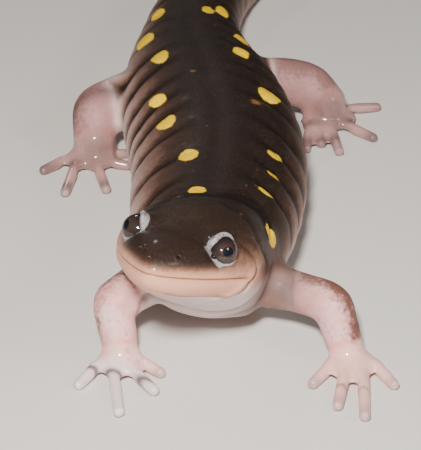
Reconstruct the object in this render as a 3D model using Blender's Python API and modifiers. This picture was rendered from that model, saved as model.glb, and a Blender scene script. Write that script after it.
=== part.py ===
"""Spotted salamander, a life-size still model of a living animal.

The body is lofted along a curved spine, the legs and digits are tapered lofts, and all of it is
fused into one smooth form.  Thin cuts then part that form into the pieces a person would name.
The eyes are separate balls in their sockets.

The animal faces -Y with +Z up, and its own left is +X.  The tables below are in millimetres and
degrees; MM turns them into metres.  A place "along" the body is measured on the spine from the
snout's tip.
"""
import math

import bmesh
import bpy
import numpy as np
from mathutils import Matrix, Vector

MM = 0.001

# Driving sizes ------------------------------------------------------------------------------------
SNOUT_VENT = 95.0
TAIL = 86.0
LENGTH = SNOUT_VENT + TAIL
HEAD_WIDTH = 18.2
TRUNK_WIDTH = 24.6
EYE_RADIUS = 1.95
GAP = 0.3                # clear width of every cut
VOXEL = 0.42             # grain of the fused form
TRIANGLES = 5300         # of the fused form, before it is cut

# Named places along the body ----------------------------------------------------------------------
PUPILS_AT = 8.0
MOUTH_CORNER_AT = 11.6
JAW_ANGLE_AT = 14.0
HEAD_END = 17.5
NECK_END = 22.5
SHOULDERS_AT = 26.0
MIDDLE_AT = 57.0
HIPS_AT = 81.0
TAIL_CUTS = (SNOUT_VENT + 1.5, SNOUT_VENT + 29.0, SNOUT_VENT + 58.0)

# The pose: the spine's bearing behind each place (from +Y towards +X), its roll and its height ------
HEAD_TURN = 20.8
HEAD_PITCH = 20.4
HEAD_ROLL = -4.1
HEAD_STRAIGHT_TO = 16.0
BEARING = ((0, HEAD_TURN), (HEAD_STRAIGHT_TO, HEAD_TURN), (29, 0.5), (37, 5), (45, 3),
           (MIDDLE_AT, -5.5), (70, -8.5), (HIPS_AT, -6), (92, -1), (101, 5), (112, 15), (126, 28),
           (150, 46), (LENGTH, 62))
ROLL = ((0, HEAD_ROLL), (HEAD_STRAIGHT_TO, HEAD_ROLL), (30, 0), (LENGTH, 0))
AXIS_HEIGHT = ((24, 11.5), (29, 10.1), (38, 8.9), (50, 8.2), (62, 7.9), (75, 7.5),
               (HIPS_AT + 3, 6.9), (SNOUT_VENT, 6.3), (104, 5.9), (112, 5.5), (125, 4.9),
               (145, 3.9), (163, 2.6), (LENGTH - 4, 0.8), (LENGTH, 0.5))

# The body's section: half width, and how far it reaches above and below the axis -------------------
SNOUT_ROUNDNESS = 1.46
PROFILE_AT = 8.0
PROFILE_ROUNDNESS = 2.1
HALF_WIDTH = ((JAW_ANGLE_AT, HEAD_WIDTH / 2), (17, 8.8), (20.5, 8.4), (25, 9.1), (29, 10.2),
              (37, 11.3), (49, 12.0), (MIDDLE_AT + 4, TRUNK_WIDTH / 2), (70, 12.0), (80, 10.8),
              (89, 9.1), (SNOUT_VENT, 8.0), (103, 7.1), (112, 6.4), (125, 5.3), (145, 4.1),
              (163, 2.7), (LENGTH - 4, 1.0), (LENGTH, 0.0))
ABOVE = ((PROFILE_AT, 4.3), (11, 5.2), (JAW_ANGLE_AT, 6.2), (18, 6.9), (22, 7.1), (29, 7.5), (38, 7.9),
         (MIDDLE_AT, 8.6), (72, 8.1), (HIPS_AT, 7.5), (SNOUT_VENT, 6.6), (112, 5.9), (125, 5.3),
         (145, 4.3), (163, 3.0), (LENGTH - 4, 1.1), (LENGTH, 0.0))
BELOW = ((PROFILE_AT, 3.5), (11, 4.2), (JAW_ANGLE_AT, 5.5), (17, 7.1), (20, 8.3), (24, 8.5), (29, 8.3),
         (38, 8.5), (50, 8.5), (62, 8.2), (75, 7.8), (HIPS_AT + 3, 7.2), (SNOUT_VENT, 6.6),
         (112, 5.8), (125, 5.2), (145, 4.2), (163, 2.9), (LENGTH - 4, 1.0), (LENGTH, 0.0))
SECTION_SIDES = 48
SECTION_POWER = 2.25
RING_STEP = 1.6

# The eyes: where the pupils sit beside the head's axis, and which way they look ---------------------
PUPIL_OUT = 6.66
PUPIL_UP = 3.36
EYE_LOOK_OUT = 42.0
EYE_LOOK_UP = 15.0
LID_RADIUS = EYE_RADIUS + 0.5
LID_SET_BACK = 0.75

# The limbs, in the frame that the feet stand in: x, y and height of each joint, and each digit's
# base and tip on the floor, from the innermost digit out.  The root is that far out from the spine,
# and the limb is cut free at that share of the way from its root to its bend -----------------------
PUPIL_LEFT = (2.1, 0.0, 20.4)     # the left pupil in this frame, which ties the spine to the feet
ARMS = {
    "left": dict(root_at=SHOULDERS_AT, root_out=7.0, cut_share=0.5, bend=(15.4, 9.2, 7.3),
                 end=(17.1, 6.9, 2.8),
                 digits=(((15.6, 5.2), (12.8, 1.0)), ((16.9, 2.9), (15.7, -3.8)),
                         ((19.2, 3.3), (18.9, -6.2)), ((20.5, 5.3), (22.9, 0.8)))),
    "right": dict(root_at=SHOULDERS_AT, root_out=-7.0, cut_share=0.52, bend=(-12.3, 9.5, 7.2),
                  end=(-11.4, 6.9, 2.8),
                  digits=(((-9.2, 5.8), (-6.3, 3.5)), ((-9.9, 3.6), (-7.0, -0.5)),
                          ((-12.2, 3.1), (-11.2, -5.2)), ((-14.0, 4.8), (-16.4, 0.8)))),
}
LEGS = {
    "left": dict(root_at=HIPS_AT, root_out=5.2, cut_share=0.52, bend=(14.6, 73.9, 5.5),
                 end=(17.2, 72.4, 3.4),
                 digits=(((14.9, 69.6), (14.0, 63.0)), ((16.0, 68.8), (16.3, 64.6)),
                         ((17.9, 68.6), (18.8, 62.1)), ((19.8, 70.0), (24.0, 66.4)),
                         ((20.4, 74.8), (25.1, 76.2)))),
    "right": dict(root_at=HIPS_AT - 2.0, root_out=-6.5, cut_share=0.77, bend=(-16.6, 63.8, 6.2),
                  end=(-16.8, 60.6, 3.3),
                  digits=(((-15.0, 60.4), (-12.4, 61.4)), ((-14.8, 58.2), (-12.0, 57.8)),
                          ((-16.4, 57.2), (-14.8, 50.8)), ((-19.4, 57.2), (-20.6, 49.9)),
                          ((-20.9, 58.9), (-24.0, 56.4)))),
}
SHOULDER_DROP = 4.2      # of the limbs' roots below the spine
HIP_DROP = 0.8
ARM_RADII = (3.2, 3.0, 2.75, 2.6, 2.35)
LEG_RADII = (4.4, 4.2, 3.8, 3.5, 3.2)
LIMB_BOW = 0.5           # rise of the middle of an upper limb
PALM_HEIGHT = 1.2        # half of a palm's thickness
PALM_SPARE = (1.4, 0.9)  # palm beyond the digits' bases, along and across
WRIST_TAPER = 0.62
DIGIT_RADII = (1.0, 0.88, 0.82, 0.76)
BASE_RISE = 0.35         # heights above or below a digit's own radius
DIGIT_ARCH = 0.5
TIP_SINK = 0.05

# The cuts: discs this many limb radii wide, or this much wider than half the body -------------------
ROOT_CUT_REACH = 1.4
ROOT_CUT_LEAN = 1.6      # how far a root's cut faces out from the body rather than along the limb
JOINT_CUT_REACH = 2.0
END_CUT_LIFT = 0.2       # of a wrist's or ankle's cut above its joint
BODY_CUTS = (("neck", HEAD_END, 0.5), ("trunk", NECK_END, 6.0), ("tail_base", TAIL_CUTS[0], 2.0),
             ("tail_middle", TAIL_CUTS[1], 2.0), ("tail_tip", TAIL_CUTS[2], 2.0))
BODY_CUT_DROP = 0.3
JAW_CUT_AHEAD = 3.0      # the jaw's cutting sheet reaches this far past the snout, and this far down
JAW_CUT_DEPTH = 9.0
FLOOR_BLOCK = (0.4, 0.5, 0.02)    # metres; its top is the floor
FLOOR_MIDDLE = (0.0, 0.08)


# The spine ----------------------------------------------------------------------------------------
def smooth_through(stations, at):
    """A smooth curve through (place, value) pairs that never overshoots them."""
    places, values = (np.array(column, float) for column in zip(*stations))
    widths = np.diff(places)
    slopes = np.diff(values) / widths
    tangents = np.zeros(len(places))
    for i in range(1, len(places) - 1):
        if slopes[i - 1] * slopes[i] > 0:
            before, after = 2 * widths[i] + widths[i - 1], widths[i] + 2 * widths[i - 1]
            tangents[i] = (before + after) / (before / slopes[i - 1] + after / slopes[i])
    tangents[0], tangents[-1] = slopes[0], slopes[-1]
    at = np.clip(at, places[0], places[-1])
    i = np.clip(np.searchsorted(places, at) - 1, 0, len(widths) - 1)
    t = (at - places[i]) / widths[i]
    return ((1 + 2 * t) * (1 - t) ** 2 * values[i] + t * (1 - t) ** 2 * widths[i] * tangents[i]
            + t * t * (3 - 2 * t) * values[i + 1] + t * t * (t - 1) * widths[i] * tangents[i + 1])


def sine(degrees):
    return math.sin(math.radians(degrees))


def cosine(degrees):
    return math.cos(math.radians(degrees))


def axis_height(at):
    """The head is held straight at its pitch; behind it the axis follows its stations."""
    pupils = PUPIL_LEFT[2] - PUPIL_UP * cosine(HEAD_PITCH) - PUPIL_OUT * sine(HEAD_ROLL)
    straight = pupils - (at - PUPILS_AT) * sine(HEAD_PITCH)
    knots = [(place, pupils - (place - PUPILS_AT) * sine(HEAD_PITCH))
             for place in (HEAD_STRAIGHT_TO, HEAD_STRAIGHT_TO + 3)]
    return np.where(at < HEAD_STRAIGHT_TO, straight, smooth_through((*knots, *AXIS_HEIGHT), at))


def eye_look(side):
    """The way an eye looks, in the head's own (forward, left, up)."""
    level = cosine(EYE_LOOK_UP)
    return np.array([cosine(EYE_LOOK_OUT) * level, side * sine(EYE_LOOK_OUT) * level,
                     sine(EYE_LOOK_UP)])


def unit(vector):
    return np.array(vector) / np.linalg.norm(vector)


class Spine:
    """Places along the body, each with its own forward, left and up."""

    def __init__(self, step=0.25):
        self.places = np.arange(0.0, LENGTH + step, step)
        heights = axis_height(self.places)
        fall = np.gradient(heights, self.places)
        level = np.sqrt(1 - fall ** 2)
        bearing = np.radians(smooth_through(BEARING, self.places))
        self.back = np.stack([np.sin(bearing) * level, np.cos(bearing) * level, fall], 1)
        flat = np.stack([np.cos(bearing), -np.sin(bearing), np.zeros_like(bearing)], 1)
        over = np.cross(flat, self.back)
        roll = np.radians(smooth_through(ROLL, self.places))[:, None]
        self.left = flat * np.cos(roll) + over * np.sin(roll)
        self.up = over * np.cos(roll) - flat * np.sin(roll)
        steps = (self.back[1:] + self.back[:-1]) / 2 * step
        self.points = np.vstack([np.zeros(3), np.cumsum(steps, axis=0)])
        self.points[:, 2] = heights
        pupil = self.at(PUPILS_AT, PUPIL_OUT, PUPIL_UP)
        self.points += np.array(PUPIL_LEFT) - pupil

    def row(self, table, along):
        return np.array([np.interp(along, self.places, table[:, k]) for k in range(3)])

    def at(self, along, out=0.0, up=0.0):
        return (self.row(self.points, along) + out * self.row(self.left, along)
                + up * self.row(self.up, along))

    def turn(self, along, local):
        """A direction given as (forward, left, up) at a place, in the model's frame."""
        return (-local[0] * self.row(self.back, along) + local[1] * self.row(self.left, along)
                + local[2] * self.row(self.up, along))


# Shapes -------------------------------------------------------------------------------------------
def new_object(name, bm):
    mesh = bpy.data.meshes.new(name)
    bm.to_mesh(mesh)
    bm.free()
    thing = bpy.data.objects.new(name, mesh)
    bpy.context.scene.collection.objects.link(thing)
    return thing


def loft(name, rings):
    """A closed skin over rings of points, with a pole at each end's middle."""
    bm = bmesh.new()
    loops = [[bm.verts.new(Vector(point) * MM) for point in ring] for ring in rings]
    sides = len(rings[0])
    for near, far in zip(loops, loops[1:]):
        for i in range(sides):
            j = (i + 1) % sides
            bm.faces.new((near[i], near[j], far[j], far[i]))
    bm.faces.new(loops[0][::-1])
    bm.faces.new(loops[-1])
    bmesh.ops.recalc_face_normals(bm, faces=bm.faces)
    return new_object(name, bm)


def opened(table, along, roundness):
    """A table's value, rounded down to nothing at the snout's tip ahead of its first station."""
    reach, full = table[0]
    if along >= reach:
        return float(smooth_through(table, along))
    return full * (1 - (1 - along / reach) ** roundness) ** (1 / roundness)


def half_sizes(along):
    """Half width, reach above and reach below the axis at a place."""
    return (opened(HALF_WIDTH, along, SNOUT_ROUNDNESS), opened(ABOVE, along, PROFILE_ROUNDNESS),
            opened(BELOW, along, PROFILE_ROUNDNESS))


def body_ring(spine, along):
    half_width, above, below = half_sizes(along)
    ring = []
    for i in range(SECTION_SIDES):
        angle = 2 * math.pi * i / SECTION_SIDES
        c, s = math.cos(angle), math.sin(angle)
        out = half_width * math.copysign(abs(c) ** (2 / SECTION_POWER), c)
        up = (above if s > 0 else below) * math.copysign(abs(s) ** (2 / SECTION_POWER), s)
        ring.append(spine.at(along, out, up))
    return ring


def body(spine):
    snout = [0.02, 0.15, 0.4, 0.8]
    tail = [LENGTH - 0.6, LENGTH - 0.3, LENGTH - 0.1]
    places = [*snout, *np.arange(RING_STEP, LENGTH - 1.0, RING_STEP), *tail]
    return loft("body", [body_ring(spine, along) for along in places])


def tapered(name, points, radii, sides=16):
    """A round-ended limb or digit through hand-placed points."""
    points = np.array(points, float)
    reach = np.concatenate([[0], np.cumsum(np.linalg.norm(np.diff(points, axis=0), axis=1))])
    steps = np.linspace(0, reach[-1], max(8, int(reach[-1] / 0.6)))
    centres = np.stack([smooth_through(list(zip(reach, points[:, k])), steps) for k in range(3)], 1)
    sizes = smooth_through(list(zip(np.linspace(0, reach[-1], len(radii)), radii)), steps)
    runs = np.gradient(centres, axis=0)
    runs /= np.linalg.norm(runs, axis=1)[:, None]
    dome = np.sin(np.linspace(0.12, math.pi / 2, 5))
    lift = np.cos(np.linspace(0.12, math.pi / 2, 5))
    stack = [(centres[0] - runs[0] * sizes[0] * b, runs[0], sizes[0] * a) for a, b in zip(dome, lift)]
    stack += list(zip(centres[1:-1], runs[1:-1], sizes[1:-1]))
    stack += [(centres[-1] + runs[-1] * sizes[-1] * b, runs[-1], sizes[-1] * a)
              for a, b in zip(dome[::-1], lift[::-1])]
    rings = []
    side = np.cross(runs[0], (0.0, 0.0, 1.0))
    for centre, run, size in stack:
        side = side - run * np.dot(side, run)
        side /= np.linalg.norm(side)
        over = np.cross(side, run)
        angles = np.arange(sides) * 2 * math.pi / sides
        rings.append([centre + size * (math.cos(a) * side + math.sin(a) * over) for a in angles])
    return loft(name, rings)


def ball(name, centre, radii, turn=None, segments=24):
    bm = bmesh.new()
    bmesh.ops.create_uvsphere(bm, u_segments=segments, v_segments=segments // 2, radius=MM)
    place = Matrix.Translation(Vector(centre) * MM) @ (turn or Matrix()) @ Matrix.Diagonal((*radii, 1))
    bmesh.ops.transform(bm, matrix=place, verts=bm.verts)
    return new_object(name, bm)


def limb(root, plan, radii):
    """A limb from inside the body through its two joints to a flat palm and its digits."""
    bend, end = np.array(plan["bend"]), np.array(plan["end"])
    line = [root, (root + bend) / 2 + (0, 0, LIMB_BOW), bend, (bend + end) / 2, end]
    pieces = [tapered("limb", line, radii)]
    bases = np.array([base for base, tip in plan["digits"]])
    palm = (bases.mean(axis=0) * 2 + end[:2]) / 3
    run = palm - end[:2]
    turn = Matrix.Rotation(math.atan2(run[1], run[0]), 4, "Z")
    reach = np.linalg.norm(bases.mean(axis=0) - end[:2]) / 2 + PALM_SPARE[0]
    spread = np.linalg.norm(bases[0] - bases[-1]) / 2 + PALM_SPARE[1]
    pieces.append(ball("palm", (*palm, PALM_HEIGHT), (reach, spread, PALM_HEIGHT), turn))
    pieces.append(tapered("wrist", [end, (*palm, PALM_HEIGHT)], (radii[-1], radii[-1] * WRIST_TAPER)))
    low = DIGIT_RADII[-1]
    for base, tip in plan["digits"]:
        knuckle = (np.array(base) + tip) / 2
        line = [(*palm, PALM_HEIGHT), (*base, low + BASE_RISE), (*knuckle, low + DIGIT_ARCH),
                (*tip, low - TIP_SINK)]
        pieces.append(tapered("digit", line, DIGIT_RADII, sides=10))
    return pieces


# Fusing and cutting -------------------------------------------------------------------------------
def evaluated(thing):
    """The same object with its modifiers made real."""
    bpy.context.view_layer.update()
    graph = bpy.context.evaluated_depsgraph_get()
    mesh = bpy.data.meshes.new_from_object(thing.evaluated_get(graph))
    made = bpy.data.objects.new(thing.name, mesh)
    bpy.context.scene.collection.objects.link(made)
    bpy.data.objects.remove(thing)
    return made


def joined(name, pieces):
    bm = bmesh.new()
    for piece in pieces:
        bm.from_mesh(piece.data)
        bpy.data.objects.remove(piece)
    return new_object(name, bm)


def fused(pieces):
    form = joined("form", pieces)
    remesh = form.modifiers.new("fuse", "REMESH")
    remesh.mode = "VOXEL"
    remesh.voxel_size = VOXEL * MM
    soften = form.modifiers.new("soften", "SMOOTH")
    soften.factor = 0.5
    soften.iterations = 6
    form = evaluated(form)
    triangles = sum(len(face.vertices) - 2 for face in form.data.polygons)
    thin = form.modifiers.new("thin", "DECIMATE")
    thin.ratio = TRIANGLES / triangles
    return evaluated(form)


def disc(name, centre, normal, radius):
    """A thin cutting disc, one gap thick."""
    bm = bmesh.new()
    bmesh.ops.create_cone(bm, cap_ends=True, segments=16, radius1=radius * MM, radius2=radius * MM,
                          depth=GAP * MM)
    turn = Vector((0, 0, 1)).rotation_difference(Vector(normal)).to_matrix().to_4x4()
    bmesh.ops.transform(bm, matrix=Matrix.Translation(Vector(centre) * MM) @ turn, verts=bm.verts)
    return new_object(name, bm)


def jaw_cutter(spine):
    """A thin bent sheet: along the mouth to its corner, then down behind the lower jaw."""
    low, high = -GAP / 2, GAP / 2
    back, front, under = MOUTH_CORNER_AT, -JAW_CUT_AHEAD, -JAW_CUT_DEPTH
    outline = ((front, low), (back - GAP, low), (back - GAP, under), (back, under), (back, high),
               (front, high))
    rings = []
    for out in (-HEAD_WIDTH, HEAD_WIDTH):
        rings.append([spine.at(back, out, up) + (back - along) * spine.turn(back, (1, 0, 0))
                      for along, up in outline])
    return loft("jaw_cutter", rings)


def subtract(thing, cutter):
    cut = thing.modifiers.new(cutter.name, "BOOLEAN")
    cut.operation = "DIFFERENCE"
    cut.solver = "EXACT"
    cut.object = cutter
    result = evaluated(thing)
    bpy.data.objects.remove(cutter)
    return result


def distance(thing, mark):
    return min(np.linalg.norm(np.array(vert.co) / MM - mark) for vert in thing.data.vertices)


def part_at(thing, cutter, kept, freed):
    """Cut a piece in two; the half nearer the first mark comes first."""
    label = cutter.name
    halves = loose_parts(subtract(thing, cutter))
    if len(halves) != 2:
        raise ValueError(f"{label} left {len(halves)} pieces")
    return sorted(halves, key=lambda half: distance(half, kept) - distance(half, freed))


def loose_parts(thing):
    """Each connected piece of a mesh as an object of its own."""
    bm = bmesh.new()
    bm.from_mesh(thing.data)
    bpy.data.objects.remove(thing)
    bm.verts.ensure_lookup_table()
    island = [-1] * len(bm.verts)
    count = 0
    for start in bm.verts:
        if island[start.index] >= 0:
            continue
        stack = [start]
        island[start.index] = count
        while stack:
            for edge in stack.pop().link_edges:
                for vert in edge.verts:
                    if island[vert.index] < 0:
                        island[vert.index] = count
                        stack.append(vert)
        count += 1
    parts = []
    for number in range(count):
        piece = bm.copy()
        piece.verts.ensure_lookup_table()
        others = [vert for vert in piece.verts if island[vert.index] != number]
        bmesh.ops.delete(piece, geom=others, context="VERTS")
        parts.append(new_object(f"part_{number}", piece))
    bm.free()
    return parts


# Finishes -----------------------------------------------------------------------------------------
def finish(name, colour, roughness):
    material = bpy.data.materials.new(name)
    material.use_nodes = True
    shader = material.node_tree.nodes["Principled BSDF"]
    shader.inputs["Base Color"].default_value = (*colour, 1)
    shader.inputs["Roughness"].default_value = roughness
    return material


def colour_of(name):
    if name.startswith("eye"):
        return (0.02, 0.012, 0.01), 0.1
    if name == "lower_jaw":
        return (0.58, 0.47, 0.42), 0.4
    if name in ("head", "neck", "trunk") or name.startswith("tail"):
        return (0.035, 0.026, 0.022), 0.35
    return (0.55, 0.42, 0.43), 0.4


# The whole animal ---------------------------------------------------------------------------------
def eye_balls(spine):
    """Each eye's centre, behind its pupil, and the way it looks, in the model's frame."""
    eyes = {}
    for side, sign in (("left", 1), ("right", -1)):
        look = spine.turn(PUPILS_AT, eye_look(sign))
        eyes[side] = (spine.at(PUPILS_AT, sign * PUPIL_OUT, PUPIL_UP) - EYE_RADIUS * look, look)
    return eyes


def floor_block():
    bm = bmesh.new()
    bmesh.ops.create_cube(bm, size=1.0)
    place = Matrix.Translation((*FLOOR_MIDDLE, -FLOOR_BLOCK[2] / 2))
    bmesh.ops.transform(bm, matrix=place @ Matrix.Diagonal((*FLOOR_BLOCK, 1)), verts=bm.verts)
    return new_object("floor", bm)


def part_limb(rest, root, plan, radii, names, outward):
    """Free a limb from the body, then part it at its two joints."""
    bend, end = np.array(plan["bend"]), np.array(plan["end"])
    upper, lower = unit(bend - root), unit(end - bend)
    parts = {}
    blade = disc("root_cut", root + (bend - root) * plan["cut_share"],
                 upper + ROOT_CUT_LEAN * outward, radii[0] * ROOT_CUT_REACH)
    rest, free = part_at(rest, blade, root, end)
    blade = disc("bend_cut", bend, upper + lower, radii[0] * JOINT_CUT_REACH)
    parts[names[0]], free = part_at(free, blade, root, end)
    blade = disc("end_cut", end - lower * END_CUT_LIFT, lower, radii[-1] * JOINT_CUT_REACH)
    parts[names[1]], parts[names[2]] = part_at(free, blade, bend, np.array([*end[:2], 0]))
    return rest, parts


def build():
    for thing in list(bpy.data.objects):
        bpy.data.objects.remove(thing)
    spine = Spine()
    eyes = eye_balls(spine)
    limbs = []
    for plans, drop, radii, names in (
            (ARMS, SHOULDER_DROP, ARM_RADII, ("upper_arm", "forearm", "hand")),
            (LEGS, HIP_DROP, LEG_RADII, ("thigh", "shank", "foot"))):
        for side, plan in plans.items():
            root = spine.at(plan["root_at"], plan["root_out"], -drop)
            outward = math.copysign(1, plan["root_out"]) * spine.turn(plan["root_at"], (0, 1, 0))
            limbs.append((root, plan, radii, [f"{name}_{side}" for name in names], outward))

    pieces = [body(spine)]
    for centre, look in eyes.values():
        pieces.append(ball("lid", centre - LID_SET_BACK * look, (LID_RADIUS,) * 3))
    for root, plan, radii, *_ in limbs:
        pieces += limb(root, plan, radii)
    rest = subtract(fused(pieces), floor_block())

    parts = {}
    for root, plan, radii, names, outward in limbs:
        rest, freed = part_limb(rest, root, plan, radii, names, outward)
        parts.update(freed)
    previous = "head"
    for name, along, spare in BODY_CUTS:
        blade = disc("cut_" + name, spine.at(along, 0, -BODY_CUT_DROP), spine.turn(along, (1, 0, 0)),
                     half_sizes(along)[0] + spare)
        parts[previous], rest = part_at(rest, blade, spine.at(along - 2), spine.at(along + 2))
        previous = name
    parts[previous] = rest
    skull, jaw = part_at(parts["head"], jaw_cutter(spine), spine.at(PUPILS_AT, 0, 3),
                         spine.at(PUPILS_AT, 0, -3))
    for centre, look in eyes.values():
        skull = subtract(skull, ball("socket", centre, (EYE_RADIUS + GAP,) * 3))
    parts["head"], parts["lower_jaw"] = skull, jaw
    for side, (centre, look) in eyes.items():
        parts[f"eye_{side}"] = ball("eye", centre, (EYE_RADIUS,) * 3, segments=16)
    return parts


def stand(parts):
    """Name and finish the parts, and set the middle of their box over the origin."""
    animal = bpy.data.collections.new("spotted_salamander")
    bpy.context.scene.collection.children.link(animal)
    corners = np.array([vert.co for part in parts.values() for vert in part.data.vertices])
    middle = (corners.min(axis=0) + corners.max(axis=0)) / 2
    shift = Matrix.Translation((-middle[0], -middle[1], -corners[:, 2].min()))
    for name, part in parts.items():
        part.name = part.data.name = name
        part.data.transform(shift)
        part.data.shade_smooth()
        part.data.materials.clear()
        part.data.materials.append(finish(name, *colour_of(name)))
        bpy.context.scene.collection.objects.unlink(part)
        animal.objects.link(part)
    print("middle of the box in the standing frame, mm:", (middle / MM).round(3))


stand(build())
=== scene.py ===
# %% [markdown]
# # A spotted salamander, life size
#
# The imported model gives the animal's solids: head, jaw, trunk, tail and limbs, parted by thin cuts.
# This lesson covers them with one living skin, carves the small forms that a knife-cut solid
# can't show (lids, nostrils, lips, folds of the throat, the grooves between the ribs), paints the
# markings with procedural materials, and sets two glossy eyes under the lids.
#
# We start by loading the model as a fixed frame. Nothing in it is moved or resized.

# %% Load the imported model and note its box
import math

import bmesh
import bpy
import numpy as np
from mathutils import Matrix, Vector
from mathutils.bvhtree import BVHTree


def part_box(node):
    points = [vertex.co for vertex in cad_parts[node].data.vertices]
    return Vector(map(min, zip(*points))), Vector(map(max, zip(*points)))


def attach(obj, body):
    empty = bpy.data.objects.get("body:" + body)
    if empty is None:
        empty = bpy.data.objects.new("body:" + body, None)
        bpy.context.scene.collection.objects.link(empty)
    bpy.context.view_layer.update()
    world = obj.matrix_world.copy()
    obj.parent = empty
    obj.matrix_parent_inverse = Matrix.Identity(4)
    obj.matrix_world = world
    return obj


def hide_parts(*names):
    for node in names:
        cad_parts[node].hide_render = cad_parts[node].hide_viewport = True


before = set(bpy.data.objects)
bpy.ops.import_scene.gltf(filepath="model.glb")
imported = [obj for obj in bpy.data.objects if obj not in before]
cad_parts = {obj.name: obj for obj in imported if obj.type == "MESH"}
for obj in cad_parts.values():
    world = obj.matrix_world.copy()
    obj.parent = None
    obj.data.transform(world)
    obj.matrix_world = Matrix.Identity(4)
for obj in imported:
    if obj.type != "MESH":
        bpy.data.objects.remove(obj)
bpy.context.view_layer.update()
MM = 0.001
FLESH = sorted(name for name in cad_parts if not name.startswith("eye"))

# %% [markdown]
# ## A ruler that follows the body
#
# The animal is bent, so "two thirds of the way down the back, forty degrees to the left" is far
# easier to say than a point in space. The spine below is the one the solids were built on: its
# bearing, roll and height at a few places. It is tied to the model by the left eye. Every fold and
# every spot further down is placed in this ruler's terms: along the body, out to the left, and up.

# %% The spine's own sizes, in millimetres and degrees
LENGTH = 181.0
PUPILS_AT, PUPIL_OUT, PUPIL_UP, PUPIL_HEIGHT = 8.0, 6.66, 3.36, 20.4
EYE_RADIUS, EYE_LOOK_OUT, EYE_LOOK_UP = 1.95, 42.0, 15.0
HEAD_TURN, HEAD_PITCH, HEAD_ROLL, HEAD_STRAIGHT_TO = 20.8, 20.4, -4.1, 16.0
BEARING = ((0, HEAD_TURN), (HEAD_STRAIGHT_TO, HEAD_TURN), (29, 0.5), (37, 5), (45, 3), (57, -5.5),
           (70, -8.5), (81, -6), (92, -1), (101, 5), (112, 15), (126, 28), (150, 46), (LENGTH, 62))
ROLL = ((0, HEAD_ROLL), (HEAD_STRAIGHT_TO, HEAD_ROLL), (30, 0), (LENGTH, 0))
AXIS_HEIGHT = ((24, 11.5), (29, 10.1), (38, 8.9), (50, 8.2), (62, 7.9), (75, 7.5), (84, 6.9),
               (95, 6.3), (104, 5.9), (112, 5.5), (125, 4.9), (145, 3.9), (163, 2.6),
               (LENGTH - 4, 0.8), (LENGTH, 0.5))
SNOUT_ROUNDNESS, PROFILE_ROUNDNESS = 1.46, 2.1
HALF_WIDTH = ((14, 9.1), (17, 8.8), (20.5, 8.4), (25, 9.1), (29, 10.2), (37, 11.3), (49, 12.0),
              (61, 12.3), (70, 12.0), (80, 10.8), (89, 9.1), (95, 8.0), (103, 7.1), (112, 6.4),
              (125, 5.3), (145, 4.1), (163, 2.7), (177, 1.0), (LENGTH, 0.3))
ABOVE = ((8, 4.3), (11, 5.2), (14, 6.2), (18, 6.9), (22, 7.1), (29, 7.5), (38, 7.9), (57, 8.6),
         (72, 8.1), (81, 7.5), (95, 6.6), (112, 5.9), (125, 5.3), (145, 4.3), (163, 3.0),
         (177, 1.1), (LENGTH, 0.3))
BELOW = ((8, 3.5), (11, 4.2), (14, 5.5), (17, 7.1), (20, 8.3), (24, 8.5), (29, 8.3), (38, 8.5),
         (50, 8.5), (62, 8.2), (75, 7.8), (84, 7.2), (95, 6.6), (112, 5.8), (125, 5.2), (145, 4.2),
         (163, 2.9), (177, 1.0), (LENGTH, 0.3))
NEARLY_SHUT = 0.98                  # how far the snout's tip is rounded down
print("length along the spine in mm:", LENGTH)


# %% Smooth curves through the tables
def smooth_through(stations, at):
    """A smooth curve through (place, value) pairs that never overshoots them."""
    places, values = (np.array(column, float) for column in zip(*stations))
    widths = np.diff(places)
    slopes = np.diff(values) / widths
    tangents = np.zeros(len(places))
    for i in range(1, len(places) - 1):
        if slopes[i - 1] * slopes[i] > 0:
            before, after = 2 * widths[i] + widths[i - 1], widths[i] + 2 * widths[i - 1]
            tangents[i] = (before + after) / (before / slopes[i - 1] + after / slopes[i])
    tangents[0], tangents[-1] = slopes[0], slopes[-1]
    at = np.clip(at, places[0], places[-1])
    i = np.clip(np.searchsorted(places, at) - 1, 0, len(widths) - 1)
    t = (at - places[i]) / widths[i]
    return ((1 + 2 * t) * (1 - t) ** 2 * values[i] + t * (1 - t) ** 2 * widths[i] * tangents[i]
            + t * t * (3 - 2 * t) * values[i + 1] + t * t * (t - 1) * widths[i] * tangents[i + 1])


def opened(table, along, roundness):
    """A table's value, rounded down to almost nothing at the snout's tip."""
    reach, full = table[0]
    ahead = np.clip(1 - along / reach, 0, NEARLY_SHUT)
    return np.where(along < reach, full * (1 - ahead ** roundness) ** (1 / roundness),
                    smooth_through(table, along))


def half_sizes(along):
    """Half width, reach above and reach below the axis at a place."""
    return (opened(HALF_WIDTH, along, SNOUT_ROUNDNESS), opened(ABOVE, along, PROFILE_ROUNDNESS),
            opened(BELOW, along, PROFILE_ROUNDNESS))


def sine(degrees):
    return math.sin(math.radians(degrees))


def cosine(degrees):
    return math.cos(math.radians(degrees))


print("widest place and its half width in mm:", max(HALF_WIDTH, key=lambda station: station[1]))


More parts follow.
